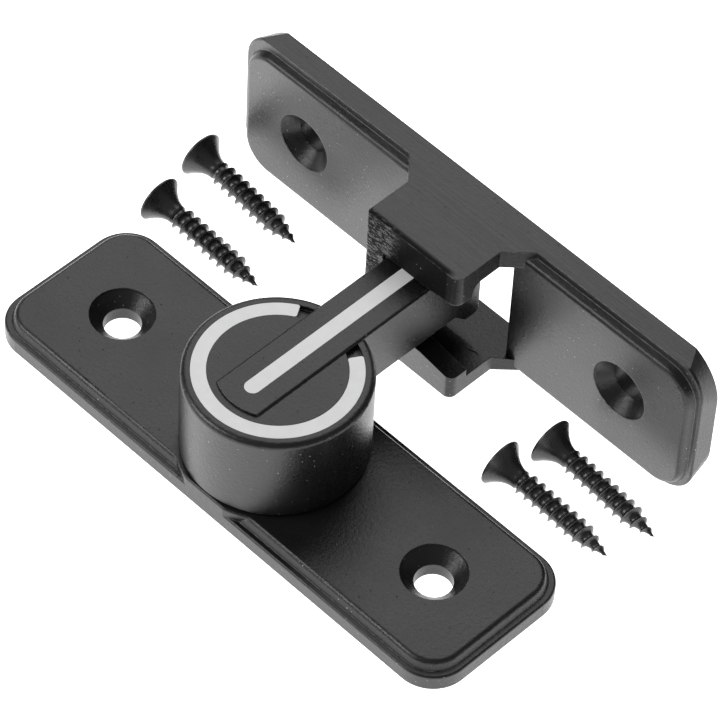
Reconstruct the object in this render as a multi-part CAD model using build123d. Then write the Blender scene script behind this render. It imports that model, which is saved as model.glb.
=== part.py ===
"""Toggle bolt latch: a turning bolt on a base plate, with its keeper.

Frame: millimetres, origin on the knob axis at the underside of the base
plate. X runs along both plates, Y points from the base plate to the keeper
(the way the bolt points when it is locked) and Z is up.
"""
import os
from math import atan2, cos, degrees, pi, radians, sin, sqrt

from build123d import *

os.makedirs("parts", exist_ok=True)

# ---------------------------------------------------------------- dimensions
BIG = 60.0              # longer than any feature, for cuts that run right through

PLATE_L = 90.0          # both plates share one outline
PLATE_W = 27.5
PLATE_R = 5.8           # outline corner radius
TIER_H = 2.8            # lower tier of the base plate
PLATE_H = 4.3           # lower tier plus raised panel
SHELF = 0.9             # flat ledge round the raised panel
RAMP = 0.6              # sloping wall of the raised panel, in plan
CORNER_SHRINK = 0.6     # how much of an inset the corner radius loses
EDGE_R = 0.35           # softened casting edges
PANEL_EDGE_R = 0.8
FOOT_BEVEL = 0.2        # bevel round the underside

HOLE_X = 31.5           # screw holes, each side of the middle
HOLE_R = 2.8
CSK_R = 4.7
CSK_RIM = 0.25          # short upright wall above the countersink
CSK_RIM_FLARE = 0.15

SEAT_R = 14.25          # round seat under the knob, cut off at the plate's sides
SEAT_WEB_R = 4.0        # rounding where the seat runs into the panel
SEAT_EDGE_R = 0.35

KNOB_R = 13.6
KNOB_Z0 = PLATE_H + 0.1
KNOB_Z1 = 19.85
KNOB_TOP_R = 0.9
KNOB_FOOT_BEVEL = 0.3
KNOB_WALL = 2.0
KNOB_CAVITY_Z = 7.6
BOSS_R = 4.4
POCKET_BOSS_R = 2.7     # material round each detent pocket
FLANGE_ROOM = 0.3       # room for the bush flange in the knob's underside

RING_RO = 12.1
RING_RI = 9.9
RING_DEPTH = 0.8
RING_END = 31.0         # degrees either side of the bolt
RING_END_R = 0.35

BAR_HW = 4.2            # half width
BAR_Z0 = 9.3
BAR_Z1 = 20.2
BAR_TAIL_R = 8.8        # rounded inner end, concentric with the knob
BAR_TIP_Y = 36.4
BAR_TIP_LOW_R = 1.1
BAR_TIP_TOP_R = 0.6
BAR_EDGE = 0.3
HEAD_Z0 = 6.8           # deeper head at the tip
HEAD_Y0 = 33.8
INLAY_HW = 1.2
INLAY_Y0 = -6.0
INLAY_Y1 = 33.6
INLAY_DEPTH = 0.5

KEEP_BACK = 40.7        # back plane of the keeper
KEEP_TIER_H = 3.6       # the keeper is the thicker casting
KEEP_H = 4.9
KEEP_FOOT_R = 8.5       # its corners are rounder at the back
KEEP_TOP = 26.65        # plate and catch are faced off level here
KEEP_PANEL_TOP = 24.9
CATCH_X0 = -8.3
CATCH_X1 = 9.75
CATCH_Y0 = 25.05
CATCH_Z0 = 0.95
CATCH_OPEN_R = 1.3      # front corner on the open side
CATCH_CLOSED_R = 0.6    # front corner on the closed side
GUSSET = 3.7            # triangular web between the catch and the plate
FLOOR_Z = 3.75
CREASE_Y = 32.8         # behind this line the floor falls away
FLOOR_BACK_Z = 2.4      # its height at the keeper's back
ROOF_Z = 23.4
COVE = 1.7              # rounded corner under the roof, behind the upper lip
LIP_D = 3.2
LIP_TOP_Z = 20.6        # underside of the upper lip
LIP_BOT_Z = 6.25        # top of the lower lip
LIP_TOP_FLARE = 0.6     # how much each lip opens at the outer side
LIP_BOT_FLARE = 1.1
FLARE_X = 3.5           # where the lips start to open
MOUTH_X0 = -4.75        # inner face of the closed side
WINDOW_X1 = 10.4

DISC_R = 11.2           # hardened detent disc under the knob
DISC_T = 0.8
DIMPLE_ROOM = 0.08      # dimples are this much larger than the balls
DIMPLE_DROP = 0.5       # how far a ball drops into its dimple
RECESS_R = 6.2          # underside recess for the pivot screw head
RECESS_Z = 1.7
BUSH_RO = 3.5
BUSH_RI = 2.5
BUSH_FLANGE_R = 5.0
BUSH_FLANGE_Z = PLATE_H + 0.5
THRUST_Z = BUSH_FLANGE_Z + 0.5
THRUST_R = 4.8
THRUST_BORE_R = 2.6
THRUST_GAP = 0.02

PIVOT_R = 2.45
PIVOT_THREAD_R = 2.0
PIVOT_TOP = 8.7
PIVOT_HEAD_R = 4.3
PIVOT_HEAD_Z0 = 0.25
PIVOT_HEAD_Z1 = 1.05
PIVOT_HEAD_BEVEL = 0.2
HEX_AF = 3.0            # hexagon key socket, across the flats
HEX_Z = 0.7

FLAT_R = 4.9
FLAT_BORE_R = 2.55
FLAT_T = 0.3
WAVE_RO = 4.7
WAVE_RI = 2.75
WAVE_MID_Z = 1.45       # middle height of the wave washer's lower face
WAVE_T = 0.16
WAVE_A = 0.07           # wave height above and below the middle
WAVES = 3

BALL_R = 1.5
BALL_X = 8.3            # detent balls sit at each side of the pivot
BALL_Z = PLATE_H + BALL_R + 0.05
POCKET_R = 1.6
POCKET_TOP = 11.6
SPRING_R = 1.15
SPRING_WIRE_R = 0.19
SPRING_GAP = 0.25       # from each end of the coil's axis to what it bears on
SPRING_TURNS = 5

BAR_SCREW_Y = (-6.5, 8.6)
BAR_SCREW_R = 1.25
BAR_SCREW_HOLE_R = 1.35
BAR_SCREW_TOP = 15.0
BAR_SCREW_HEAD_R = 1.9
BAR_SCREW_HEAD_T = 1.3
BAR_SCREW_HEAD_EDGE_R = 0.4
CROSS_HL = 1.1          # half length and half width of the cross recess
CROSS_HW = 0.2
CROSS_DEPTH = 1.0

SCREW_L = 21.0
SCREW_HEAD_R = 3.7
SCREW_HEAD_RIM = 0.35   # straight edge of the head
SCREW_BUGLE_L = 3.8     # curved neck between the head and the shank
SCREW_BUGLE_POWER = 2.0
SCREW_NECK_R = 1.5      # foot of the neck
SCREW_THREAD_R = 1.9
SCREW_ROOT_R = 1.25
SCREW_PITCH = 1.55
SCREW_RIDGE_HW = 0.42   # half width of the thread at its root
SCREW_PLAIN = 4.4       # head and neck above the first thread turn
SCREW_TIP = 3.9         # bare cone below the last full turn
DRIVE_HL = 1.9
DRIVE_FOOT_HL = 0.75
DRIVE_DEPTH = 1.9
DRIVE_HW = 0.36
REST_GAP = 0.06         # keeps the loose screws just clear of the plane z 0
# head centre x and y in mm, heading and roll in degrees, of each loose screw
LOOSE = ((-46.8, 29.65, -1.2, 20.0), (-44.55, 19.15, 0.8, 75.0),
         (23.75, 20.65, 1.0, 40.0), (25.9, 28.55, -0.8, 5.0))

BLACK = Color(0.07, 0.07, 0.075)
WHITE = Color(0.86, 0.88, 0.85)
STEEL = Color(0.6, 0.6, 0.62)
BRASS = Color(0.72, 0.56, 0.28)
NYLON = Color(0.85, 0.84, 0.8)


# ------------------------------------------------------------------- helpers
def block(x0, x1, y0, y1, z0, z1):
    """Axis-aligned block between two corners."""
    return Pos((x0 + x1) / 2, (y0 + y1) / 2, (z0 + z1) / 2) * Box(
        x1 - x0, y1 - y0, z1 - z0)


def post(r, z0, z1, x=0.0, y=0.0):
    """Upright cylinder."""
    return Pos(x, y, (z0 + z1) / 2) * Cylinder(r, z1 - z0)


def cone(r0, r1, z0, z1, x=0.0, y=0.0):
    """Upright cone, radius r0 at z0 and r1 at z1."""
    return Pos(x, y, (z0 + z1) / 2) * Cone(r0, r1, z1 - z0)


def outline(inset):
    """Plate outline, pulled in by an amount."""
    return RectangleRounded(PLATE_L - 2 * inset, PLATE_W - 2 * inset,
                            PLATE_R - CORNER_SHRINK * inset)


def edges_at(part, z, tol=0.01):
    """Edges that lie wholly at one height."""
    return [e for e in part.edges()
            if abs(e.bounding_box().min.Z - z) < tol
            and abs(e.bounding_box().max.Z - z) < tol]


def uprights_at(part, x, y, tol=0.01):
    """Upright edges at one place in plan."""
    return [e for e in part.edges().filter_by(Axis.Z)
            if abs(e.center().X - x) < tol and abs(e.center().Y - y) < tol]


def save(name, part, color):
    """Write one node."""
    part.label = name
    part.color = color
    export_step(part, f"parts/{name}.step")
    print(name, round(part.volume, 2), len(part.solids()))


def plate_form(tier_h, full_h, foot_r=PLATE_R, trim=0.0):
    """The two-tier plate both castings start from, without its holes.

    The corners can be rounder at the underside, and the raised panel can be
    trimmed along its +Y long edge.
    """
    if foot_r > PLATE_R:
        foot = RectangleRounded(PLATE_L, PLATE_W, foot_r)
        tier = loft([foot, Pos(0, 0, tier_h) * outline(0)], ruled=True)
    else:
        tier = extrude(outline(0), tier_h)
        tier = chamfer(edges_at(tier, 0.0), FOOT_BEVEL)
    tier = fillet(edges_at(tier, tier_h), EDGE_R)
    angle = degrees(atan2(RAMP, full_h - tier_h))
    rim = RectangleRounded(PLATE_L - 2 * SHELF, PLATE_W - 2 * SHELF - trim,
                           PLATE_R - CORNER_SHRINK * SHELF)
    panel = extrude(rim, full_h - tier_h, taper=angle)
    panel = Pos(0, -trim / 2, tier_h) * panel
    panel = fillet(edges_at(panel, full_h), PANEL_EDGE_R)
    return tier + panel


def screw_hole(x, full_h):
    """Countersunk hole through a plate."""
    depth = CSK_R - HOLE_R
    rim_z = full_h - CSK_RIM
    cut = post(HOLE_R, -1, full_h + 1, x)
    cut += cone(HOLE_R, CSK_R, rim_z - depth, rim_z, x)
    cut += cone(CSK_R, CSK_R + CSK_RIM_FLARE, rim_z, full_h + 0.01, x)
    return cut


# ---------------------------------------------------------------- base plate
base = plate_form(TIER_H, PLATE_H)
panel_hw = PLATE_W / 2 - SHELF - RAMP
seat = Circle(SEAT_R) + Rectangle(2 * SEAT_R + 4 * SEAT_WEB_R, 2 * panel_hw)
web_x = sqrt(SEAT_R ** 2 - panel_hw ** 2)
seat = fillet([v for v in seat.vertices() if abs(abs(v.X) - web_x) < 0.01],
              SEAT_WEB_R)
seat = extrude(seat, PLATE_H) & extrude(outline(0), PLATE_H)
arcs = [e for e in edges_at(seat, PLATE_H) if abs(e.center().Y) > panel_hw + 0.01]
seat = fillet(arcs, SEAT_EDGE_R)
seat = chamfer([e for e in edges_at(seat, 0.0)
                if abs(e.center().Y) > PLATE_W / 2 - 0.01], FOOT_BEVEL)
base += seat
for x in (-HOLE_X, HOLE_X):
    base -= screw_hole(x, PLATE_H)
base -= post(DISC_R, PLATE_H - DISC_T, PLATE_H + 1)
base -= post(RECESS_R, -1, RECESS_Z)
base -= post(BUSH_RO, 0, PLATE_H)
save("base_plate", base, BLACK)

disc = post(DISC_R, PLATE_H - DISC_T, PLATE_H) - post(BUSH_RO, 0, PLATE_H + 1)
for a in (0, 90, 180, 270):
    dimple = Sphere(BALL_R + DIMPLE_ROOM)
    disc -= Pos(BALL_X * cos(radians(a)), BALL_X * sin(radians(a)),
                BALL_Z - DIMPLE_DROP) * dimple
save("detent_disc", disc, STEEL)

bush = post(BUSH_RO, RECESS_Z, PLATE_H) + post(
    BUSH_FLANGE_R, PLATE_H, BUSH_FLANGE_Z)
bush -= post(BUSH_RI, 0, BUSH_FLANGE_Z + 1)
save("pivot_bush", bush, BRASS)

# ---------------------------------------------------------------- bolt (bar)
side = Polyline(
    (-BAR_TAIL_R - 1, BAR_Z0), (HEAD_Y0 - (BAR_Z0 - HEAD_Z0), BAR_Z0),
    (HEAD_Y0, HEAD_Z0), (BAR_TIP_Y, HEAD_Z0), (BAR_TIP_Y, BAR_Z1),
    (-BAR_TAIL_R - 1, BAR_Z1), close=True)
bar = Pos(-BAR_HW, 0, 0) * extrude(Plane.YZ * make_face(side), 2 * BAR_HW)
bar &= post(BAR_TAIL_R, 0, BIG) + block(-BAR_HW - 1, BAR_HW + 1, 0, BIG, 0, BIG)
for z, radius in ((HEAD_Z0, BAR_TIP_LOW_R), (BAR_Z1, BAR_TIP_TOP_R)):
    tip_edge = [e for e in bar.edges().filter_by(Axis.X)
                if abs(e.center().Y - BAR_TIP_Y) < 0.01
                and abs(e.center().Z - z) < 0.01]
    bar = fillet(tip_edge, radius)
long_top = [e for e in bar.edges().filter_by(Axis.Y)
            if abs(e.center().Z - BAR_Z1) < 0.01]
bar = chamfer(long_top, BAR_EDGE)


def stripe(z0, z1):
    """Round-ended stripe along the bar, shared by the inlay and its groove."""
    y0 = INLAY_Y0 + INLAY_HW
    y1 = INLAY_Y1 - INLAY_HW
    return (block(-INLAY_HW, INLAY_HW, y0, y1, z0, z1)
            + post(INLAY_HW, z0, z1, 0, y0) + post(INLAY_HW, z0, z1, 0, y1))


bar -= stripe(BAR_Z1 - INLAY_DEPTH, BAR_Z1 + 1)
for y in BAR_SCREW_Y:
    bar -= post(BAR_SCREW_R, BAR_Z0 - 1, BAR_SCREW_TOP + 0.2, 0, y)
save("bolt_bar", bar, BLACK)
save("bar_inlay", stripe(BAR_Z1 - INLAY_DEPTH, BAR_Z1), WHITE)

# --------------------------------------------------------------------- knob
knob = post(KNOB_R, KNOB_Z0, KNOB_Z1)
knob = fillet(edges_at(knob, KNOB_Z1), KNOB_TOP_R)
knob = chamfer(edges_at(knob, KNOB_Z0), KNOB_FOOT_BEVEL)
knob -= (post(RING_RO, KNOB_Z1 - RING_DEPTH, KNOB_Z1 + 1)
         - post(RING_RI, 0, BIG))
slot = block(-BAR_HW, BAR_HW, 0, KNOB_R + 1, BAR_Z0, BIG)
slot += (block(-BAR_HW, BAR_HW, -KNOB_R, 1, BAR_Z0, BIG)
         & post(BAR_TAIL_R, BAR_Z0, BIG))
knob -= slot
cavity = post(KNOB_R - KNOB_WALL, KNOB_Z0 - 1, KNOB_CAVITY_Z)
cavity -= post(BOSS_R, 0, BIG)
for s in (-1, 1):
    cavity -= post(POCKET_BOSS_R, 0, BIG, s * BALL_X)
knob -= cavity
knob -= post(BUSH_FLANGE_R + FLANGE_ROOM, KNOB_Z0 - 1, THRUST_Z)
knob -= post(PIVOT_THREAD_R, 0, PIVOT_TOP + 0.2)
for s in (-1, 1):
    knob -= post(POCKET_R, 0, POCKET_TOP, s * BALL_X)
for y in BAR_SCREW_Y:
    knob -= post(BAR_SCREW_HOLE_R, KNOB_CAVITY_Z - 1, BAR_Z0 + 1, 0, y)
save("knob", knob, BLACK)

ring = post(RING_RO, KNOB_Z1 - RING_DEPTH, KNOB_Z1) - post(RING_RI, 0, BIG)
reach_x = BIG * sin(radians(RING_END))
reach_y = BIG * cos(radians(RING_END))
wedge = make_face(Polyline((0, 0), (reach_x, reach_y), (-reach_x, reach_y),
                           close=True))
ring -= extrude(wedge, BIG)
ring = fillet(ring.edges().filter_by(Axis.Z), RING_END_R)
save("ring_inlay", ring, WHITE)

# -------------------------------------------------------- pivot and its stack
thrust = post(THRUST_R, BUSH_FLANGE_Z + THRUST_GAP, THRUST_Z)
thrust -= post(THRUST_BORE_R, 0, BIG)
save("thrust_washer", thrust, NYLON)

pivot = post(PIVOT_HEAD_R, PIVOT_HEAD_Z0, PIVOT_HEAD_Z1)
pivot += post(PIVOT_R, PIVOT_HEAD_Z1, THRUST_Z)
pivot += post(PIVOT_THREAD_R, THRUST_Z, PIVOT_TOP)
pivot = chamfer(edges_at(pivot, PIVOT_HEAD_Z0), PIVOT_HEAD_BEVEL)
pivot -= extrude(RegularPolygon(HEX_AF / 2, 6, major_radius=False), HEX_Z)
save("pivot_screw", pivot, STEEL)

flat = post(FLAT_R, PIVOT_HEAD_Z1, PIVOT_HEAD_Z1 + FLAT_T)
flat -= post(FLAT_BORE_R, 0, BIG)
save("flat_washer", flat, STEEL)


def wave_edge(r, dz):
    """Closed wavy edge of the washer at one radius, raised by dz."""
    steps = 36
    points = []
    for i in range(steps):
        a = 2 * pi * i / steps
        z = WAVE_MID_Z + WAVE_A * cos(WAVES * a) + dz
        points.append((r * cos(a), r * sin(a), z))
    return Spline(*points, periodic=True).edge()


loops = [wave_edge(WAVE_RO, 0), wave_edge(WAVE_RI, 0),
         wave_edge(WAVE_RI, WAVE_T), wave_edge(WAVE_RO, WAVE_T)]
faces = [Face.make_surface_from_curves(loops[i], loops[(i + 1) % 4])
         for i in range(4)]
save("wave_washer", Solid(Shell(faces)), STEEL)

for n, y in enumerate(BAR_SCREW_Y, 1):
    head_z = KNOB_CAVITY_Z - BAR_SCREW_HEAD_T
    body = post(BAR_SCREW_HEAD_R, head_z, KNOB_CAVITY_Z, 0, y)
    body = fillet(edges_at(body, head_z), BAR_SCREW_HEAD_EDGE_R)
    body += post(BAR_SCREW_R, KNOB_CAVITY_Z, BAR_SCREW_TOP, 0, y)
    for hx, hy in ((CROSS_HL, CROSS_HW), (CROSS_HW, CROSS_HL)):
        body -= block(-hx, hx, y - hy, y + hy, 0, head_z + CROSS_DEPTH)
    save(f"bar_screw_{n}", body, STEEL)

# ------------------------------------------------------------------- detent
for n, s in enumerate((-1, 1), 1):
    save(f"detent_ball_{n}", Pos(s * BALL_X, 0, BALL_Z) * Sphere(BALL_R), STEEL)
    z0 = BALL_Z + BALL_R + SPRING_GAP
    coil_h = POCKET_TOP - SPRING_GAP - z0
    path = Helix(pitch=coil_h / SPRING_TURNS, height=coil_h, radius=SPRING_R)
    wire = Plane(origin=path @ 0, z_dir=path % 0) * Circle(SPRING_WIRE_R)
    coil = sweep(wire, path=path, is_frenet=True)
    save(f"detent_spring_{n}", Pos(s * BALL_X, 0, z0) * coil, STEEL)

# ------------------------------------------------------------------- keeper
keep = plate_form(KEEP_TIER_H, KEEP_H, KEEP_FOOT_R,
                  trim=PLATE_W - SHELF - RAMP - KEEP_PANEL_TOP)
for x in (-HOLE_X, HOLE_X):
    keep -= screw_hole(x, KEEP_H)
# stand it on its long edge: local +Z becomes -Y, local +Y becomes +Z
stand = Plane(origin=(0, KEEP_BACK, PLATE_W / 2), x_dir=(1, 0, 0),
              z_dir=(0, -1, 0))
keep = stand * keep
keep -= block(-BIG, BIG, 0, BIG, KEEP_TOP, BIG)
y_tier = KEEP_BACK - KEEP_TIER_H

foot = Polyline(
    (CATCH_X0, CATCH_Y0), (CATCH_X1, CATCH_Y0),
    (CATCH_X1, y_tier - GUSSET), (CATCH_X1 + GUSSET, y_tier),
    (CATCH_X1 + GUSSET, KEEP_BACK - 1), (CATCH_X0 - GUSSET, KEEP_BACK - 1),
    (CATCH_X0 - GUSSET, y_tier), (CATCH_X0, y_tier - GUSSET), close=True)
catch = Pos(0, 0, CATCH_Z0) * extrude(make_face(foot), KEEP_TOP - CATCH_Z0)
catch = fillet(uprights_at(catch, CATCH_X1, CATCH_Y0), CATCH_OPEN_R)
catch = fillet(uprights_at(catch, CATCH_X0, CATCH_Y0), CATCH_CLOSED_R)
keep += catch

# pocket behind the lips and the window behind it through the plate, open to
# the right in front of the plate, with a rounded upper front corner
y_lip = CATCH_Y0 + LIP_D
y_panel = KEEP_BACK - KEEP_H
x_out = CATCH_X1 + GUSSET + 1
fall = (FLOOR_Z - FLOOR_BACK_Z) / (KEEP_BACK - CREASE_Y)
side = Polyline((y_lip, FLOOR_Z), (CREASE_Y, FLOOR_Z),
                (KEEP_BACK + 1, FLOOR_BACK_Z - fall), (KEEP_BACK + 1, ROOF_Z),
                (y_lip, ROOF_Z), close=True)
pocket = Pos(MOUTH_X0, 0, 0) * extrude(Plane.YZ * make_face(side),
                                       x_out - MOUTH_X0)
pocket -= block(WINDOW_X1, x_out + 1, y_panel, BIG, 0, BIG)
pocket -= block(MOUTH_X0, x_out, y_lip, y_lip + COVE, ROOF_Z - COVE, ROOF_Z)
round_corner = Pos((MOUTH_X0 + x_out) / 2, y_lip + COVE, ROOF_Z - COVE) * Rot(
    0, 90, 0) * Cylinder(COVE, x_out - MOUTH_X0)
keep -= pocket + round_corner
# mouth between the lips, flared towards the open side
mouth = Polyline(
    (MOUTH_X0, LIP_BOT_Z), (FLARE_X, LIP_BOT_Z),
    (CATCH_X1, LIP_BOT_Z - LIP_BOT_FLARE), (BIG, LIP_BOT_Z - LIP_BOT_FLARE),
    (BIG, LIP_TOP_Z + LIP_TOP_FLARE), (CATCH_X1, LIP_TOP_Z + LIP_TOP_FLARE),
    (FLARE_X, LIP_TOP_Z), (MOUTH_X0, LIP_TOP_Z), close=True)
mouth = extrude(Plane.XZ * make_face(mouth), -(LIP_D + COVE + 1))
keep -= Pos(0, CATCH_Y0 - 1, 0) * mouth
save("keeper", keep, BLACK)


# ------------------------------------------------------------- loose screws
def wood_screw():
    """Fully threaded screw with a bugle head, head face on z 0, tip at -L."""
    steps = 8
    neck = []
    for i in range(1, steps + 1):
        t = i / steps
        r = SCREW_NECK_R + (SCREW_HEAD_R - SCREW_NECK_R) * (
            1 - t) ** SCREW_BUGLE_POWER
        neck.append((r, -SCREW_HEAD_RIM - SCREW_BUGLE_L * t))
    core = make_face(Plane.XZ * Polyline(
        (0, 0), (SCREW_HEAD_R, 0), (SCREW_HEAD_R, -SCREW_HEAD_RIM), *neck,
        (SCREW_ROOT_R, -SCREW_HEAD_RIM - SCREW_BUGLE_L - 0.3),
        (SCREW_ROOT_R, -SCREW_L + SCREW_TIP - 0.3), (0, -SCREW_L), close=True))
    core = revolve(core, Axis.Z)
    path = Pos(0, 0, -SCREW_L + SCREW_TIP) * Helix(
        pitch=SCREW_PITCH, height=SCREW_L - SCREW_TIP - SCREW_PLAIN,
        radius=SCREW_ROOT_R - 0.1)
    ridge = SCREW_THREAD_R - SCREW_ROOT_R + 0.1
    section = make_face(Polyline((0, -SCREW_RIDGE_HW), (ridge, 0),
                                 (0, SCREW_RIDGE_HW), close=True))
    section = Plane(origin=path @ 0, x_dir=(1, 0, 0), z_dir=path % 0) * section
    part = core + sweep(section, path=path, is_frenet=True)
    fin = make_face(Polyline((-DRIVE_HL, 0.1), (DRIVE_HL, 0.1),
                             (DRIVE_FOOT_HL, -DRIVE_DEPTH),
                             (-DRIVE_FOOT_HL, -DRIVE_DEPTH), close=True))
    fin = extrude(Plane.XZ * fin, DRIVE_HW, both=True)
    return part - fin - Rot(0, 0, 90) * fin


screw = wood_screw()
# each lies on its head rim and on the last full turn of its thread
lean = atan2(SCREW_HEAD_R - SCREW_THREAD_R, SCREW_L - SCREW_TIP)
head_z = SCREW_HEAD_R * cos(lean) + REST_GAP
for n, (x, y, heading, roll) in enumerate(LOOSE, 1):
    h = radians(heading)
    toward_tip = Vector(cos(h) * cos(lean), sin(h) * cos(lean), -sin(lean))
    where = Plane(origin=(x, y, head_z), x_dir=(-sin(h), cos(h), 0),
                  z_dir=-toward_tip)
    save(f"mounting_screw_{n}", where * Rot(0, 0, roll) * screw, BLACK)
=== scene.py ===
"""Toggle bolt latch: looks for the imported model.

The model's frame is in metres, with its origin on the knob axis at the
underside of the base plate. X runs along both plates, Y points from the base
plate to the keeper and Z is up. Sizes in the classes below are millimetres
unless their name says otherwise.
"""
from __future__ import annotations

import logging
import math
from dataclasses import dataclass, field
from enum import Enum
from typing import Iterable, Optional, Sequence

import bmesh
import bpy
from mathutils import Matrix, Vector

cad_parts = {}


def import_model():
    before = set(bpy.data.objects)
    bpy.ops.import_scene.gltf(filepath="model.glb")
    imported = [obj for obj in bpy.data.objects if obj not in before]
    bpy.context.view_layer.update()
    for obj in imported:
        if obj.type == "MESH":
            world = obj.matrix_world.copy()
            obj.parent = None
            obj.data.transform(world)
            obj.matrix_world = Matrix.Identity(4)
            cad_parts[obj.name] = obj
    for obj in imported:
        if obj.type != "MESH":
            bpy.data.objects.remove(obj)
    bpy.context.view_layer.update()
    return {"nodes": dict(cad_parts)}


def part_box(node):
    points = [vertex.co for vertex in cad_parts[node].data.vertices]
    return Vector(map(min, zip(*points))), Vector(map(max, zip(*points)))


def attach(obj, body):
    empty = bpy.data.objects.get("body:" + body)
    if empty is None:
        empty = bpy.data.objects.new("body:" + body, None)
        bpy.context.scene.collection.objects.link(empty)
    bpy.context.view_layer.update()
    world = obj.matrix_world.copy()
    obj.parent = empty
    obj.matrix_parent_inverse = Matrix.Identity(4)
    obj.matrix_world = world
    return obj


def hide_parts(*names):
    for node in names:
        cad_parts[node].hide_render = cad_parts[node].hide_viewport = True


LOG = logging.getLogger("latch")
MM = 0.001

Colour = tuple[float, float, float]
Socket = bpy.types.NodeSocket


class Slot(Enum):
    """The record's material slot names for added pieces; nothing in the script uses
    them.
    """

    CASTING = "black_casting"
    SCREW = "black_screw"


class Body(Enum):
    """Moving bodies that added pieces ride on."""

    KEEPER = "keeper_body"
    SCREW_1 = "screw_1"
    SCREW_2 = "screw_2"
    SCREW_3 = "screw_3"
    SCREW_4 = "screw_4"


# ------------------------------------------------------------------ shading
class Graph:
    """A material's node tree, with short calls for the nodes finishes share."""

    def __init__(self, name: str) -> None:
        """Start an empty material with a Principled shader.

        Args:
            name: the material's name.
        """
        self.material = bpy.data.materials.new(name)
        self.material.use_nodes = True
        self.tree = self.material.node_tree
        self.tree.nodes.clear()
        self.output = self.node("ShaderNodeOutputMaterial")
        self.shader = self.node("ShaderNodeBsdfPrincipled")
        self.link(self.shader.outputs["BSDF"], self.output.inputs["Surface"])
        self.place = self.node("ShaderNodeTexCoord").outputs["Object"]

    def node(self, kind: str) -> bpy.types.Node:
        """Add a node of that kind."""
        return self.tree.nodes.new(kind)

    def link(self, out: Socket, into: Socket) -> None:
        """Join two sockets."""
        self.tree.links.new(out, into)

    def feed(self, into: Socket, value: Socket | float) -> None:
        """Link a socket to an input, or set the input to a number.

        Args:
            into: the input.
            value: what it gets.
        """
        if isinstance(value, (int, float)):
            into.default_value = value
        else:
            self.link(value, into)

    def stretched(self, scale: Sequence[float]) -> Socket:
        """Object coordinates stretched along each axis.

        Args:
            scale: factors for X, Y and Z.

        Returns:
            The vector socket.
        """
        mapping = self.node("ShaderNodeMapping")
        mapping.inputs["Scale"].default_value = scale
        self.link(self.place, mapping.inputs["Vector"])
        return mapping.outputs["Vector"]

    def noise(self, size_mm: float, detail: float = 2.0, rough: float = 0.5,
              place: Optional[Socket] = None) -> Socket:
        """Noise whose blobs are about that large.

        Args:
            size_mm: size of a blob.
            detail: octaves of finer noise.
            rough: strength of the finer noise.
            place: coordinates, the object's own if left out.

        Returns:
            The noise value, from 0 to 1.
        """
        noise = self.node("ShaderNodeTexNoise")
        noise.inputs["Scale"].default_value = 1.0 / (size_mm * MM)
        noise.inputs["Detail"].default_value = detail
        noise.inputs["Roughness"].default_value = rough
        self.link(place or self.place, noise.inputs["Vector"])
        return noise.outputs["Fac"]

    def cells(self, size_mm: float) -> Socket:
        """Distance to the nearest of points scattered that far apart.

        Args:
            size_mm: spacing of the points.

        Returns:
            The distance, 0 at a point.
        """
        cells = self.node("ShaderNodeTexVoronoi")
        cells.inputs["Scale"].default_value = 1.0 / (size_mm * MM)
        self.link(self.place, cells.inputs["Vector"])
        return cells.outputs["Distance"]

    def spread(self, value: Socket, low: float, high: float,
               to_low: float, to_high: float) -> Socket:
        """Stretch a range of values over another, clamped.

        Args:
            value: the input value.
            low: where the input range starts.
            high: where the input range ends.
            to_low: result at the start.
            to_high: result at the end.

        Returns:
            The stretched value.
        """
        spread = self.node("ShaderNodeMapRange")
        self.link(value, spread.inputs["Value"])
        for key, number in (("From Min", low), ("From Max", high),
                            ("To Min", to_low), ("To Max", to_high)):
            spread.inputs[key].default_value = number
        return spread.outputs["Result"]

    def maths(self, operation: str, first: Socket | float,
              second: Socket | float) -> Socket:
        """A Math node.

        Args:
            operation: the node's operation, such as MULTIPLY.
            first: left operand.
            second: right operand.

        Returns:
            The result.
        """
        node = self.node("ShaderNodeMath")
        node.operation = operation
        self.feed(node.inputs[0], first)
        self.feed(node.inputs[1], second)
        return node.outputs["Value"]

    def blend(self, share: Socket, first: Colour, second: Colour) -> Socket:
        """Colour between two, by a share from 0 to 1.

        Args:
            share: how much of the second colour.
            first: colour at 0.
            second: colour at 1.

        Returns:
            The colour.
        """
        ramp = self.node("ShaderNodeValToRGB")
        ramp.color_ramp.elements[0].color = (*first, 1.0)
        ramp.color_ramp.elements[1].color = (*second, 1.0)
        self.link(share, ramp.inputs["Fac"])
        return ramp.outputs["Color"]

    def tinted(self, colour: Socket, share: Socket, over: Colour) -> Socket:
        """Colour with another laid over it, by a share from 0 to 1.

        Args:
            colour: the colour below.
            share: how much of the colour above.
            over: the colour above.

        Returns:
            The colour.
        """
        mix = self.node("ShaderNodeMix")
        mix.data_type = "RGBA"
        self.link(share, mix.inputs[0])
        self.link(colour, mix.inputs[6])
        mix.inputs[7].default_value = (*over, 1.0)
        return mix.outputs[2]

    def pick(self, share: Socket, first: Socket | float,
             second: Socket | float) -> Socket:
        """Value between two others, by a share from 0 to 1.

        Args:
            share: how much of the second value.
            first: value at 0.
            second: value at 1.

        Returns:
            The value.
        """
        mix = self.node("ShaderNodeMix")
        self.link(share, mix.inputs[0])
        self.feed(mix.inputs[2], first)
        self.feed(mix.inputs[3], second)
        return mix.outputs[0]

    def bump(self, height: Socket, depth_mm: float,
             under: Optional[Socket] = None) -> Socket:
        """Relief from a height.

        Args:
            height: value from 0 to 1.
            depth_mm: how deep a height of 1 is.
            under: normal of coarser relief that this one lies on.

        Returns:
            The normal.
        """
        bump = self.node("ShaderNodeBump")
        bump.inputs["Distance"].default_value = depth_mm * MM
        self.link(height, bump.inputs["Height"])
        if under is not None:
            self.link(under, bump.inputs["Normal"])
        return bump.outputs["Normal"]

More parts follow.
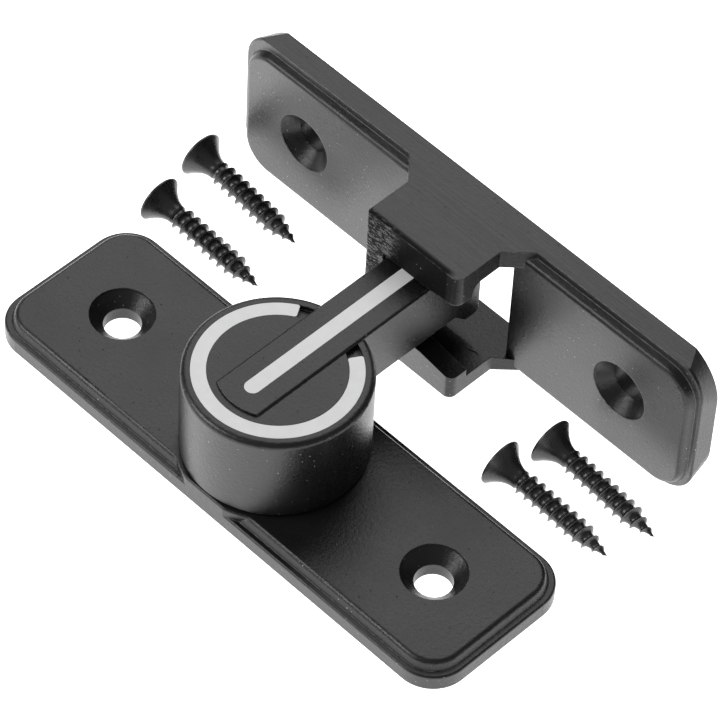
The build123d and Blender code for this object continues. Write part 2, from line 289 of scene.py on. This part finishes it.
    def soft_edges(self, radius_mm: float) -> Socket:
        """Normal that rounds every sharp edge by a small radius."""
        edges = self.node("ShaderNodeBevel")
        edges.samples = 6
        edges.inputs["Radius"].default_value = radius_mm * MM
        return edges.outputs["Normal"]

    def facing(self, axis: str) -> Socket:
        """Part of the face's true normal along X, Y or Z."""
        form = self.node("ShaderNodeNewGeometry")
        parts = self.node("ShaderNodeSeparateXYZ")
        self.link(form.outputs["True Normal"], parts.inputs[0])
        return parts.outputs[axis]

    def ramp_along(self, axis: str, low_mm: float, high_mm: float,
                   to_low: float, to_high: float) -> Socket:
        """Number that changes along an axis of the frame.

        Args:
            axis: X, Y or Z.
            low_mm: where it starts to change.
            high_mm: where it stops changing.
            to_low: its value before the start.
            to_high: its value past the stop.

        Returns:
            The number.
        """
        parts = self.node("ShaderNodeSeparateXYZ")
        self.link(self.place, parts.inputs[0])
        return self.spread(parts.outputs[axis], low_mm * MM, high_mm * MM,
                           to_low, to_high)

    def top_mask(self, above_mm: float) -> Socket:
        """1 on faces that look up and lie above a height, 0 elsewhere."""
        looks_up = self.maths("GREATER_THAN", self.facing("Z"), 0.98)
        high = self.ramp_along("Z", above_mm, above_mm + 0.01, 0.0, 1.0)
        return self.maths("MULTIPLY", looks_up, high)

    def edge_share(self, edges: Socket) -> Socket:
        """Share of edge lightening (wear, and on the coat a painted highlight), from how
        far an edge's round turns the normal.

        Args:
            edges: normal with the edges rounded.

        Returns:
            1 on the edge itself and 0 on the flats.
        """
        form = self.node("ShaderNodeNewGeometry")
        turn = self.node("ShaderNodeVectorMath")
        turn.operation = "DOT_PRODUCT"
        self.link(edges, turn.inputs[0])
        self.link(form.outputs["Normal"], turn.inputs[1])
        return self.spread(turn.outputs["Value"], 0.90, 0.985, 1.0, 0.0)

    def surface(self, colour: Socket, roughness: Socket, normal: Socket) -> None:
        """Feed the shader's colour, roughness and normal.

        Args:
            colour: base colour.
            roughness: roughness.
            normal: relief.
        """
        self.link(colour, self.shader.inputs["Base Color"])
        self.link(roughness, self.shader.inputs["Roughness"])
        self.link(normal, self.shader.inputs["Normal"])

    def uniform(self, **values: float) -> None:
        """Set numbers on the shader's own sockets.

        Args:
            values: socket names with _ for a space, and their numbers.
        """
        for name, value in values.items():
            self.shader.inputs[name.replace("_", " ")].default_value = value


@dataclass(frozen=True)
class PowderCoat:
    """Satin black coat baked on a zinc casting, with a fine sandy grain."""

    name: str = "satin_black_coat"
    deep: Colour = (0.0055, 0.0055, 0.0058)
    pale: Colour = (0.0110, 0.0110, 0.0115)
    # edge colour: the coat's wear, and a painted highlight along the edges
    edge_wear_and_highlight: Colour = (0.20, 0.20, 0.205)
    smooth: float = 0.25
    dull: float = 0.36
    grain_mm: float = 0.17
    grain_depth_mm: float = 0.030
    swell_mm: float = 0.55
    swell_depth_mm: float = 0.034
    nib_spacing_mm: float = 0.95
    nib_depth_mm: float = 0.028
    edge_mm: float = 0.22
    cloud_mm: float = 9.0
    cloud_share: float = 0.45
    nib_patch_mm: float = 2.6
    nib_gloss: float = 0.16
    scuff_mm: float = 0.8
    # pale specks: painted glints of the grain, mostly on upright faces
    glint_speck: Colour = (0.60, 0.60, 0.60)
    speck_spacing_mm: float = 0.95
    speck_patch_mm: float = 3.1
    speck_share_on_top: float = 0.10
    specular: float = 0.5
    brushed_above_mm: Optional[float] = None
    brush_mm: float = 0.9
    brush_gloss: float = 0.06
    front_specular: float = 0.9
    inner_specular: float = 0.4
    rough_cast_and_shade: bool = False
    skin_mm: float = 0.30
    skin_depth_mm: float = 0.10

    def build(self) -> bpy.types.Material:
        """Make the material.

        Returns:
            The material.
        """
        graph = Graph(self.name)
        edges = graph.soft_edges(self.edge_mm)
        shine: Socket | float = self.specular
        grain = graph.noise(self.grain_mm, 3.0, 0.6)
        swell = graph.noise(self.swell_mm, 1.0, 0.4)
        cloud = graph.noise(self.cloud_mm, 3.0, 0.6)
        nib = graph.spread(graph.cells(self.nib_spacing_mm), 0.05, 0.16, 1.0, 0.0)
        patch = graph.spread(graph.noise(self.nib_patch_mm, 1.0), 0.52, 0.62, 0.0, 1.0)
        nib = graph.maths("MULTIPLY", nib, patch)
        tint = graph.maths("MULTIPLY", grain, 1.0 - self.cloud_share)
        tint = graph.maths("ADD", tint,
                           graph.maths("MULTIPLY", cloud, self.cloud_share))
        tint = graph.spread(tint, 0.35, 0.65, 0.0, 1.0)
        colour = graph.blend(tint, self.deep, self.pale)
        # edges lightened: wear, and a painted highlight along them
        colour = self.wear_and_highlight_edges(graph, colour, edges)
        # pale specks painted in as glints
        colour = self.painted_glint_specks(graph, colour)
        rough = graph.spread(tint, 0.0, 1.0, self.smooth, self.dull)
        rough = graph.maths("SUBTRACT", rough,
                            graph.maths("MULTIPLY", nib, self.nib_gloss))
        if self.brushed_above_mm is not None:
            top = graph.top_mask(self.brushed_above_mm)
            lines = graph.noise(self.brush_mm, 4.0, 0.7,
                                graph.stretched((0.05, 6.0, 6.0)))
            grain = graph.pick(top, grain, lines)
            streak = graph.spread(lines, 0.3, 0.7, self.smooth - self.brush_gloss,
                                  self.dull)
            rough = graph.pick(top, rough, streak)
            front = graph.maths("LESS_THAN", graph.facing("Y"), -0.97)
            shine = graph.pick(front, self.inner_specular, self.front_specular)
            shine = graph.pick(top, shine, self.specular)
        normal = graph.bump(swell, self.swell_depth_mm, edges)
        if self.rough_cast_and_shade:
            skin_and_shade_area, streaks = self.cast_skin_and_shade(graph)
            rough = graph.pick(skin_and_shade_area, rough, graph.spread(streaks, 0.0, 1.0, 0.5, 0.2))
            # away from the streaks the front's reflection drops to 0.06: painted shade
            # over the mouth
            shine = graph.pick(skin_and_shade_area, shine, graph.spread(streaks, 0.0, 1.0, 0.06, 1.0))
            normal = graph.bump(graph.maths("MULTIPLY", skin_and_shade_area, streaks),
                                self.skin_depth_mm, normal)
        normal = graph.bump(nib, self.nib_depth_mm, normal)
        normal = graph.bump(grain, self.grain_depth_mm, normal)
        graph.surface(colour, rough, normal)
        graph.feed(graph.shader.inputs["Specular IOR Level"], shine)
        return graph.material

    def painted_glint_specks(self, graph: Graph, colour: Socket) -> Socket:
        """Scatter pale specks over the coat as painted glints, fewer on top faces.

        Args:
            graph: the node tree.
            colour: colour of the coat.

        Returns:
            The colour with painted glints.
        """
        near = graph.spread(graph.cells(self.speck_spacing_mm), 0.050, 0.090, 1.0, 0.0)
        some = graph.spread(graph.noise(self.speck_patch_mm, 2.0), 0.48, 0.54, 0.0, 1.0)
        upright = graph.spread(graph.facing("Z"), 0.5, 0.9, 1.0, self.speck_share_on_top)
        some = graph.maths("MULTIPLY", some, upright)
        return graph.tinted(colour, graph.maths("MULTIPLY", near, some), self.glint_speck)

    def cast_skin_and_shade(self, graph: Graph) -> tuple[Socket, Socket]:
        """Coarse streaked skin that the mould left on the front of the catch, and the
        zone over the mouth whose reflection is turned down as painted shade.

        Args:
            graph: the node tree.

        Returns:
            Share of the face above the mouth, and share of a bright streak.
        """
        skin_and_shade_area = graph.maths("MULTIPLY", graph.ramp_along("Y", 25.6, 26.2, 1.0, 0.0),
                           graph.ramp_along("Z", 6.2, 7.0, 0.0, 1.0))
        # the lip's corner past X 8 mm stays out of the painted shade
        skin_and_shade_area = graph.maths("MULTIPLY", skin_and_shade_area, graph.ramp_along("X", 7.4, 8.6, 1.0, 0.0))
        lines = graph.noise(self.skin_mm, 3.0, 0.65, graph.stretched((0.35, 1.0, 1.0)))
        lines = graph.spread(lines, 0.50, 0.60, 0.0, 1.0)
        left = graph.ramp_along("X", -3.6, -1.4, 1.0, 0.0)
        return skin_and_shade_area, graph.maths("MULTIPLY", lines, left)

    def wear_and_highlight_edges(self, graph: Graph, colour: Socket, edges: Socket) -> Socket:
        """Lighten the edges, for the coat worn thinner there and as a painted highlight
        along them.

        Args:
            graph: the node tree.
            colour: colour of the flats.
            edges: normal with the edges rounded.

        Returns:
            The colour with worn edges that also carry a painted highlight.
        """
        scuffs = graph.spread(graph.noise(self.scuff_mm, 3.0, 0.7), 0.35, 0.7, 0.0, 1.0)
        share = graph.maths("MULTIPLY", graph.edge_share(edges), scuffs)
        return graph.tinted(colour, share, self.edge_wear_and_highlight)


@dataclass(frozen=True)
class InlayPlastic:
    """Off-white moulded inlay with a faint mottle."""

    name: str = "white_inlay_plastic"
    cool: Colour = (0.88, 0.89, 0.89)
    warm: Colour = (0.93, 0.94, 0.93)

    def build(self) -> bpy.types.Material:
        """Make the material.

        Returns:
            The material.
        """
        graph = Graph(self.name)
        mottle = graph.noise(2.5, 3.0, 0.6)
        grain = graph.noise(0.12, 2.0, 0.6)
        colour = graph.blend(graph.spread(mottle, 0.35, 0.65, 0.0, 1.0),
                             self.cool, self.warm)
        rough = graph.spread(grain, 0.3, 0.7, 0.42, 0.56)
        graph.surface(colour, rough, graph.bump(grain, 0.004))
        graph.uniform(Metallic=0.0, Specular_IOR_Level=0.5,
                      Subsurface_Weight=0.05, Subsurface_Scale=0.0006)
        return graph.material


@dataclass(frozen=True)
class TurnedMetal:
    """Bare metal turned on a lathe, with fine tool rings round its axis."""

    name: str
    light: Colour
    dark: Colour
    roughness: float = 0.28
    ring_mm: float = 0.22

    def build(self) -> bpy.types.Material:
        """Make the material.

        Returns:
            The material.
        """
        graph = Graph(self.name)
        rings = graph.node("ShaderNodeTexWave")
        rings.wave_type = "RINGS"
        rings.rings_direction = "Z"
        rings.inputs["Scale"].default_value = 0.32 / (self.ring_mm * MM)
        rings.inputs["Distortion"].default_value = 0.6
        rings.inputs["Detail"].default_value = 2.0
        graph.link(graph.place, rings.inputs["Vector"])
        stain = graph.noise(1.6, 4.0, 0.65)
        colour = graph.blend(graph.spread(stain, 0.35, 0.68, 0.0, 1.0),
                             self.light, self.dark)
        rough = graph.spread(stain, 0.3, 0.7, self.roughness, self.roughness + 0.16)
        normal = graph.bump(rings.outputs["Fac"], 0.004)
        normal = graph.bump(graph.noise(0.08, 2.0), 0.002, normal)
        graph.surface(colour, rough, normal)
        graph.uniform(Metallic=1.0)
        return graph.material


@dataclass(frozen=True)
class PhosphateBlack:
    """Black phosphate on a hardened screw, polished through on the crests."""

    name: str = "black_phosphate"
    deep: Colour = (0.026, 0.026, 0.027)
    rubbed: Colour = (0.240, 0.238, 0.232)
    edge_mm: float = 0.12
    crystal_mm: float = 0.13
    patch_mm: float = 1.3

    def build(self) -> bpy.types.Material:
        """Make the material.

        Returns:
            The material.
        """
        graph = Graph(self.name)
        crystals = graph.noise(self.crystal_mm, 3.0, 0.65)
        patches = graph.noise(self.patch_mm, 3.0, 0.6)
        rub = graph.maths("MULTIPLY", graph.edge_share(graph.soft_edges(self.edge_mm)),
                          graph.spread(patches, 0.3, 0.6, 0.2, 1.0))
        colour = graph.blend(rub, self.deep, self.rubbed)
        rough = graph.spread(patches, 0.3, 0.7, 0.20, 0.40)
        normal = graph.bump(patches, 0.030)
        normal = graph.bump(crystals, 0.020, normal)
        graph.surface(colour, rough, normal)
        graph.uniform(Metallic=0.45, Specular_IOR_Level=1.0)
        return graph.material


@dataclass(frozen=True)
class PaleFloor:
    """Plain matt white floor of a light table."""

    name: str = "pale_floor"
    colour: Colour = (0.92, 0.92, 0.92)
    glow: float = 1.55

    def build(self) -> bpy.types.Material:
        """Make the material.

        Returns:
            The material.
        """
        graph = Graph(self.name)
        mottle = graph.noise(30.0, 2.0)
        low = tuple(0.985 * part for part in self.colour)
        colour = graph.blend(mottle, low, self.colour)
        graph.surface(colour, graph.spread(mottle, 0.0, 1.0, 0.88, 0.94),
                      graph.bump(mottle, 0.01))
        graph.uniform(Specular_IOR_Level=0.0, Emission_Strength=self.glow)
        graph.shader.inputs["Emission Color"].default_value = (1.0, 1.0, 1.0, 1.0)
        return graph.material


class Finishes:
    """The latch's finishes, one for each material slot and special face."""

    def __init__(self) -> None:
        """Make every material once."""
        self.coat = PowderCoat().build()
        self.keeper_coat = PowderCoat(name="satin_black_coat_faced",
                                      brushed_above_mm=26.0,
                                      rough_cast_and_shade=True).build()
        self.inlay = InlayPlastic().build()
        self.steel = TurnedMetal("zinc_plated_steel", (0.66, 0.66, 0.67),
                                 (0.50, 0.50, 0.52)).build()
        self.brass = TurnedMetal("turned_brass", (0.78, 0.60, 0.30),
                                 (0.58, 0.42, 0.19), 0.24).build()
        self.nylon = InlayPlastic("natural_nylon", (0.76, 0.74, 0.68),
                                  (0.86, 0.84, 0.78)).build()
        self.phosphate = PhosphateBlack().build()
        self.floor = PaleFloor().build()


def dress(names: Iterable[str], nodes: dict[str, bpy.types.Object],
          material: bpy.types.Material) -> None:
    """Give CAD nodes a finish.

    Args:
        names: the nodes' names.
        nodes: the frame's nodes.
        material: their finish.
    """
    for name in names:
        slots = nodes[name].data.materials
        slots.clear()
        slots.append(material)
        LOG.info("dressed %s in %s", name, material.name)


def evaluated_mesh(thing: bpy.types.Object) -> bpy.types.Mesh:
    """Mesh of an object with its modifiers applied.

    Args:
        thing: the object.

    Returns:
        A new mesh.
    """
    graph = bpy.context.evaluated_depsgraph_get()
    return bpy.data.meshes.new_from_object(thing.evaluated_get(graph))


def add_object(name: str, mesh: bpy.types.Mesh) -> bpy.types.Object:
    """Put a mesh in the scene.

    Args:
        name: the object's name.
        mesh: its mesh.

    Returns:
        The object.
    """
    thing = bpy.data.objects.new(name, mesh)
    bpy.context.scene.collection.objects.link(thing)
    return thing


# ------------------------------------------------------------- sub-assemblies
@dataclass
class BaseAssembly:
    """The base plate and what is pressed into it."""

    finishes: Finishes
    plate: tuple[str, ...] = ("base_plate",)
    steel: tuple[str, ...] = ("detent_disc",)
    brass: tuple[str, ...] = ("pivot_bush",)

    def build(self, nodes: dict[str, bpy.types.Object]) -> None:
        """Dress the plate, the detent disc and the bush.

        Args:
            nodes: the frame's nodes.
        """
        dress(self.plate, nodes, self.finishes.coat)
        dress(self.steel, nodes, self.finishes.steel)
        dress(self.brass, nodes, self.finishes.brass)


@dataclass
class BoltAssembly:
    """The knob, its bar, their inlays and the pivot that turns with them."""

    finishes: Finishes
    coated: tuple[str, ...] = ("knob", "bolt_bar")
    inlays: tuple[str, ...] = ("ring_inlay", "bar_inlay")
    nylon: tuple[str, ...] = ("thrust_washer",)
    steel: tuple[str, ...] = (
        "pivot_screw", "flat_washer", "wave_washer", "bar_screw_1", "bar_screw_2",
        "detent_ball_1", "detent_ball_2", "detent_spring_1", "detent_spring_2")

    def build(self, nodes: dict[str, bpy.types.Object]) -> None:
        """Dress every piece that turns with the knob.

        Args:
            nodes: the frame's nodes.
        """
        dress(self.coated, nodes, self.finishes.coat)
        dress(self.inlays, nodes, self.finishes.inlay)
        dress(self.nylon, nodes, self.finishes.nylon)
        dress(self.steel, nodes, self.finishes.steel)


@dataclass
class KeeperAssembly:
    """The keeper, with the casting mark on the floor of its catch."""

    finishes: Finishes
    floor_z: float = 3.75
    mark_length: float = 2.6
    mark_width: float = 0.34
    mark_height: float = 0.16
    mark_place: tuple[float, float] = (7.2, 32.3)
    mark_heading: float = -96.0
    mark_bend: float = 0.22
    mark_sink: float = 0.02

    def build(self, nodes: dict[str, bpy.types.Object]) -> None:
        """Dress the keeper and add its casting mark.

        Args:
            nodes: the frame's nodes.
        """
        dress(("keeper",), nodes, self.finishes.keeper_coat)
        mark = self.casting_mark()
        mark.data.materials.append(self.finishes.coat)
        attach(mark, Body.KEEPER.value)
        LOG.info("built %s", mark.name)

    def casting_mark(self) -> bpy.types.Object:
        """Low rounded ridge left by the mould on the catch's floor.

        Returns:
            The ridge.
        """
        bm = bmesh.new()
        rows, ribs = 14, 8
        grid = []
        for i in range(rows + 1):
            along = i / rows
            swell = math.sin(math.pi * along) ** 0.6
            bend = self.mark_bend * math.sin(2.0 * math.pi * along)
            line = []
            for j in range(ribs + 1):
                side = math.pi * j / ribs
                x = (bend + 0.5 * self.mark_width * swell * math.cos(side)) * MM
                y = (along - 0.5) * self.mark_length * MM
                z = (self.mark_height * swell * math.sin(side) - self.mark_sink) * MM
                line.append(bm.verts.new((x, y, z)))
            grid.append(line)
        for i in range(rows):
            for j in range(ribs):
                bm.faces.new((grid[i][j], grid[i][j + 1], grid[i + 1][j + 1],
                              grid[i + 1][j]))
        bmesh.ops.recalc_face_normals(bm, faces=bm.faces)
        for face in bm.faces:
            face.smooth = True
        mesh = bpy.data.meshes.new("casting_mark")
        bm.to_mesh(mesh)
        bm.free()
        x, y = self.mark_place
        mesh.transform(Matrix.Translation((x * MM, y * MM, self.floor_z * MM))
                       @ Matrix.Rotation(math.radians(self.mark_heading), 4, "Z"))
        return add_object("casting_mark", mesh)


# Share of a pitch along the thread, and share of the way from root to crest.
THREAD_FORM = ((0.0, 0.0), (0.22, 0.04), (0.36, 0.34), (0.46, 0.90), (0.50, 1.0),
               (0.54, 0.90), (0.64, 0.34), (0.78, 0.04))


@dataclass
class WoodScrew:
    """Fully threaded countersunk screw, head face on z 0 and tip at -length."""

    length: float = 21.0
    head_r: float = 3.7
    head_rim: float = 0.35
    neck_length: float = 3.8
    neck_power: float = 2.0
    neck_r: float = 1.5
    thread_r: float = 1.9
    root_r: float = 1.25
    pitch: float = 1.55
    tip_length: float = 4.6
    columns: int = 56
    thread_start: float = 3.7
    drive_half: float = 1.9
    drive_foot: float = 0.75
    drive_depth: float = 1.9
    drive_half_width: float = 0.36
    drive_lift: float = 0.3
    crease_deg: float = 38.0

    def revolved(self, profile: Sequence[tuple[float, float]]) -> bmesh.types.BMesh:
        """Closed solid of revolution.

        Args:
            profile: radius and height pairs, from the axis back to the axis.

        Returns:
            The solid, in metres.
        """
        bm = bmesh.new()
        rings = []
        for radius, height in profile:
            if radius == 0.0:
                rings.append([bm.verts.new((0.0, 0.0, height * MM))])
                continue
            rings.append([bm.verts.new((
                radius * MM * math.cos(2 * math.pi * k / self.columns),
                radius * MM * math.sin(2 * math.pi * k / self.columns),
                height * MM)) for k in range(self.columns)])
        for upper, lower in zip(rings, rings[1:]):
            for k in range(self.columns):
                n = (k + 1) % self.columns
                corners = [upper[k % len(upper)], upper[n % len(upper)],
                           lower[n % len(lower)], lower[k % len(lower)]]
                bm.faces.new(list(dict.fromkeys(corners)))
        bmesh.ops.recalc_face_normals(bm, faces=bm.faces)
        return bm

    def head_profile(self) -> list[tuple[float, float]]:
        """Outline of the head and its curved neck.

        Returns:
            Radius and height pairs.
        """
        r = self.head_r
        profile = [(0.0, 0.0), (r - 0.45, 0.0), (r - 0.16, -0.03), (r - 0.04, -0.10),
                   (r, -0.20), (r - 0.02, -self.head_rim)]
        steps = 14
        for i in range(1, steps + 1):
            t = i / steps
            wide = self.neck_r + (r - self.neck_r) * (1 - t) ** self.neck_power
            profile.append((wide, -self.head_rim - self.neck_length * t))
        foot = -self.head_rim - self.neck_length
        profile += [(self.root_r, foot - 0.35), (0.0, foot - 0.9)]
        return profile

    def drive_cutter(self) -> bmesh.types.BMesh:
        """Tapered cross that cuts the drive recess.

        Returns:
            The cutter, in metres.
        """
        bm = bmesh.new()
        lift = self.drive_lift
        slope = (self.drive_half - self.drive_foot) / self.drive_depth
        top = self.drive_half + slope * lift
        ring = ((-top, lift), (top, lift), (self.drive_foot, -self.drive_depth),
                (-self.drive_foot, -self.drive_depth))
        for turn in (0.0, math.pi / 2):
            spin = Matrix.Rotation(turn, 3, "Z")
            sides = [[bm.verts.new(spin @ Vector((x, y, z)) * MM) for x, z in ring]
                     for y in (-self.drive_half_width, self.drive_half_width)]
            bm.faces.new(sides[0])
            bm.faces.new(list(reversed(sides[1])))
            for k in range(4):
                n = (k + 1) % 4
                bm.faces.new((sides[0][k], sides[1][k], sides[1][n], sides[0][n]))
        bmesh.ops.recalc_face_normals(bm, faces=bm.faces)
        return bm

    def head_mesh(self) -> bpy.types.Mesh:
        """Head with its cross recess cut out.

        Returns:
            The mesh.
        """
        things = []
        for name, bm in (("head", self.revolved(self.head_profile())),
                         ("drive", self.drive_cutter())):
            mesh = bpy.data.meshes.new(name)
            bm.to_mesh(mesh)
            bm.free()
            things.append(add_object(name, mesh))
        head, cutter = things
        cut = head.modifiers.new("drive", "BOOLEAN")
        cut.operation = "DIFFERENCE"
        cut.use_self = True
        cut.object = cutter
        mesh = evaluated_mesh(head)
        for thing in things:
            bpy.data.objects.remove(thing)
        return mesh

    def radii(self, depth: float) -> tuple[float, float]:
        """Root and crest radius at a depth below the head face.

        Args:
            depth: distance below the head face.

        Returns:
            Root radius and crest radius.
        """
        left = max(self.length - depth, 0.0) / self.tip_length
        if left < 1.0:
            root = self.root_r * left ** 0.9
            crest = self.thread_r * left ** 0.8
        else:
            root, crest = self.root_r, self.thread_r
        run_in = (depth - self.thread_start) / (0.6 * self.pitch)
        run_in = min(max(run_in, 0.0), 1.0)
        return root, root + (crest - root) * run_in

    def add_thread(self, bm: bmesh.types.BMesh) -> None:
        """Add the shank, whose mesh follows the helix of the thread.

        Args:
            bm: mesh that already holds the head, in metres.
        """
        per_turn = len(THREAD_FORM)
        turns = math.ceil((self.length - self.thread_start) / self.pitch) + 2
        rows = [(turn + share, ridge) for turn in range(-1, turns)
                for share, ridge in THREAD_FORM]
        grid = []
        for place, ridge in rows:
            line = []
            for k in range(self.columns):
                angle = k / self.columns
                depth = self.thread_start + self.pitch * (place + angle)
                depth = min(max(depth, self.thread_start), self.length)
                root, crest = self.radii(depth)
                radius = (root + (crest - root) * ridge) * MM
                line.append(bm.verts.new((
                    radius * math.cos(2 * math.pi * angle),
                    radius * math.sin(2 * math.pi * angle), -depth * MM)))
            grid.append(line)
        last = self.columns - 1
        for i in range(len(rows) - 1):
            for k in range(last):
                bm.faces.new((grid[i][k], grid[i][k + 1], grid[i + 1][k + 1],
                              grid[i + 1][k]))
            if i + 1 + per_turn < len(rows):
                bm.faces.new((grid[i][last], grid[i + per_turn][0],
                              grid[i + 1 + per_turn][0], grid[i + 1][last]))

    def mesh(self) -> bpy.types.Mesh:
        """The whole screw, smooth shaded with crisp edges.

        Returns:
            The mesh.
        """
        mesh = self.head_mesh()
        bm = bmesh.new()
        bm.from_mesh(mesh)
        before = len(bm.faces)
        self.add_thread(bm)
        bmesh.ops.remove_doubles(bm, verts=bm.verts, dist=1e-7)
        bm.normal_update()
        for face in bm.faces:
            face.smooth = True
        for edge in bm.edges:
            if len(edge.link_faces) == 2:
                edge.smooth = edge.calc_face_angle(0.0) < math.radians(self.crease_deg)
        bmesh.ops.recalc_face_normals(bm, faces=bm.faces)
        LOG.info("screw mesh: %d head faces, %d in all", before, len(bm.faces))
        bm.to_mesh(mesh)
        bm.free()
        mesh.name = "wood_screw"
        return mesh


@dataclass
class ScrewSet:
    """The four loose mounting screws, lying beside the latch."""

    finishes: Finishes
    screw: WoodScrew = field(default_factory=WoodScrew)
    cad_tip: float = 3.9
    rest_gap: float = 0.06
    bodies: tuple[Body, ...] = (Body.SCREW_1, Body.SCREW_2, Body.SCREW_3, Body.SCREW_4)
    headings: tuple[float, ...] = (-1.2, 0.8, 1.0, -0.8)
    rolls: tuple[float, ...] = (20.0, 75.0, 40.0, 5.0)

    def build(self) -> None:
        """Lay a detailed screw where each CAD screw is."""
        mesh = self.screw.mesh()
        mesh.materials.clear()
        mesh.materials.append(self.finishes.phosphate)
        lays = zip(self.bodies, self.headings, self.rolls)
        for number, (body, heading, roll) in enumerate(lays, 1):
            node = f"mounting_screw_{number}"
            own_mesh = mesh.copy()
            own_mesh.transform(self.lie(node, heading, roll))
            piece = add_object(f"wood_screw_{number}", own_mesh)
            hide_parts(node)
            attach(piece, body.value)
            LOG.info("built %s", piece.name)

    def lie(self, node: str, heading: float, roll: float) -> Matrix:
        """Place of a screw that rests on its head rim and its last full turn.

        Args:
            node: the CAD screw it stands for.
            heading: degrees that its tip points away from +X.
            roll: degrees that it is turned about its own axis.

        Returns:
            The placing matrix.
        """
        s = self.screw
        lean = math.atan2(s.head_r - s.thread_r, s.length - self.cad_tip)
        low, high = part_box(node)
        h = math.radians(heading)
        centre = Vector((low[0] + s.head_r * MM * math.sin(lean),
                         0.5 * (low[1] + high[1]),
                         (s.head_r * math.cos(lean) + self.rest_gap) * MM))
        up_axis = -Vector((math.cos(h) * math.cos(lean), math.sin(h) * math.cos(lean),
                           -math.sin(lean)))
        side = Vector((-math.sin(h), math.cos(h), 0.0))
        other = up_axis.cross(side)
        turn = Matrix((side, other, up_axis)).transposed().to_4x4()
        return (Matrix.Translation(centre) @ turn
                @ Matrix.Rotation(math.radians(roll), 4, "Z"))


# -------------------------------------------------------------------- studio
@dataclass(frozen=True)
class Softbox:
    """An area light that points at the latch."""

    name: str
    place: tuple[float, float, float]
    aim: tuple[float, float, float]
    width: float
    power: float

    def build(self) -> None:
        """Put the light in the scene."""
        lamp = bpy.data.lights.new(self.name, "AREA")
        lamp.shape = "SQUARE"
        lamp.size = self.width
        lamp.energy = self.power
        thing = bpy.data.objects.new(self.name, lamp)
        thing.location = self.place
        direction = Vector(self.aim) - Vector(self.place)
        thing.rotation_euler = direction.to_track_quat("-Z", "Y").to_euler()
        bpy.context.scene.collection.objects.link(thing)


@dataclass
class Studio:
    """Floor, soft lights and camera."""

    finishes: Finishes
    floor_half_m: float = 3.0
    floor_gap_m: float = 0.00002
    camera_place: tuple[float, float, float] = (0.2912, -0.2975, 0.5272)
    azimuth: float = 42.844
    elevation: float = 50.466
    roll: float = 3.331
    lens: float = 238.36
    world_strength: float = 0.22
    boxes: tuple[Softbox, ...] = (
        Softbox("back_softbox", (-0.46, 0.52, 0.78), (0.0, 0.02, 0.0), 0.75, 3.3),
        Softbox("key_softbox", (-0.50, -0.60, 0.62), (0.0, 0.02, 0.0), 0.50, 5.0),
    )

    def build(self) -> None:
        """Make the floor, the lights and the camera."""
        self.add_floor()
        for softbox in self.boxes:
            softbox.build()
        self.add_world()
        self.add_camera()
        LOG.info("built the studio with %d softboxes", len(self.boxes))

    def add_floor(self) -> None:
        """Add a wide floor just under the latch."""
        bm = bmesh.new()
        bmesh.ops.create_grid(bm, x_segments=8, y_segments=8, size=self.floor_half_m)
        mesh = bpy.data.meshes.new("studio_floor")
        bm.to_mesh(mesh)
        bm.free()
        mesh.materials.append(self.finishes.floor)
        floor = add_object("studio_floor", mesh)
        floor.location.z = -self.floor_gap_m

    def add_world(self) -> None:
        """Surround the latch with an even white glow."""
        world = bpy.data.worlds.new("studio_glow")
        world.use_nodes = True
        glow = world.node_tree.nodes["Background"]
        glow.inputs["Color"].default_value = (1.0, 1.0, 1.0, 1.0)
        glow.inputs["Strength"].default_value = self.world_strength
        bpy.context.scene.world = world
        bpy.context.scene.view_settings.view_transform = "Standard"

    def add_camera(self) -> None:
        """Add the camera at the viewing angle."""
        a, e, r = (math.radians(v) for v in (self.azimuth, self.elevation, self.roll))
        back = Vector((math.sin(a) * math.cos(e), -math.cos(a) * math.cos(e),
                       math.sin(e)))
        level = Vector((math.cos(a), math.sin(a), 0.0))
        upward = back.cross(level)
        right = level * math.cos(r) + upward * math.sin(r)
        top = upward * math.cos(r) - level * math.sin(r)
        data = bpy.data.cameras.new("view_camera")
        data.lens = self.lens
        data.sensor_width = 36.0
        data.clip_start = 0.01
        data.clip_end = 20.0
        camera = bpy.data.objects.new("view_camera", data)
        turn = Matrix((right, top, back)).transposed().to_4x4()
        camera.matrix_world = Matrix.Translation(self.camera_place) @ turn
        bpy.context.scene.collection.objects.link(camera)
        bpy.context.scene.camera = camera


def main() -> None:
    """Load the frame, build every piece and report each."""
    logging.basicConfig(level=logging.INFO, format="%(name)s: %(message)s")
    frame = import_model()
    finishes = Finishes()
    Studio(finishes).build()
    BaseAssembly(finishes).build(frame["nodes"])
    BoltAssembly(finishes).build(frame["nodes"])
    KeeperAssembly(finishes).build(frame["nodes"])
    ScrewSet(finishes).build()


if __name__ == "__main__":
    main()
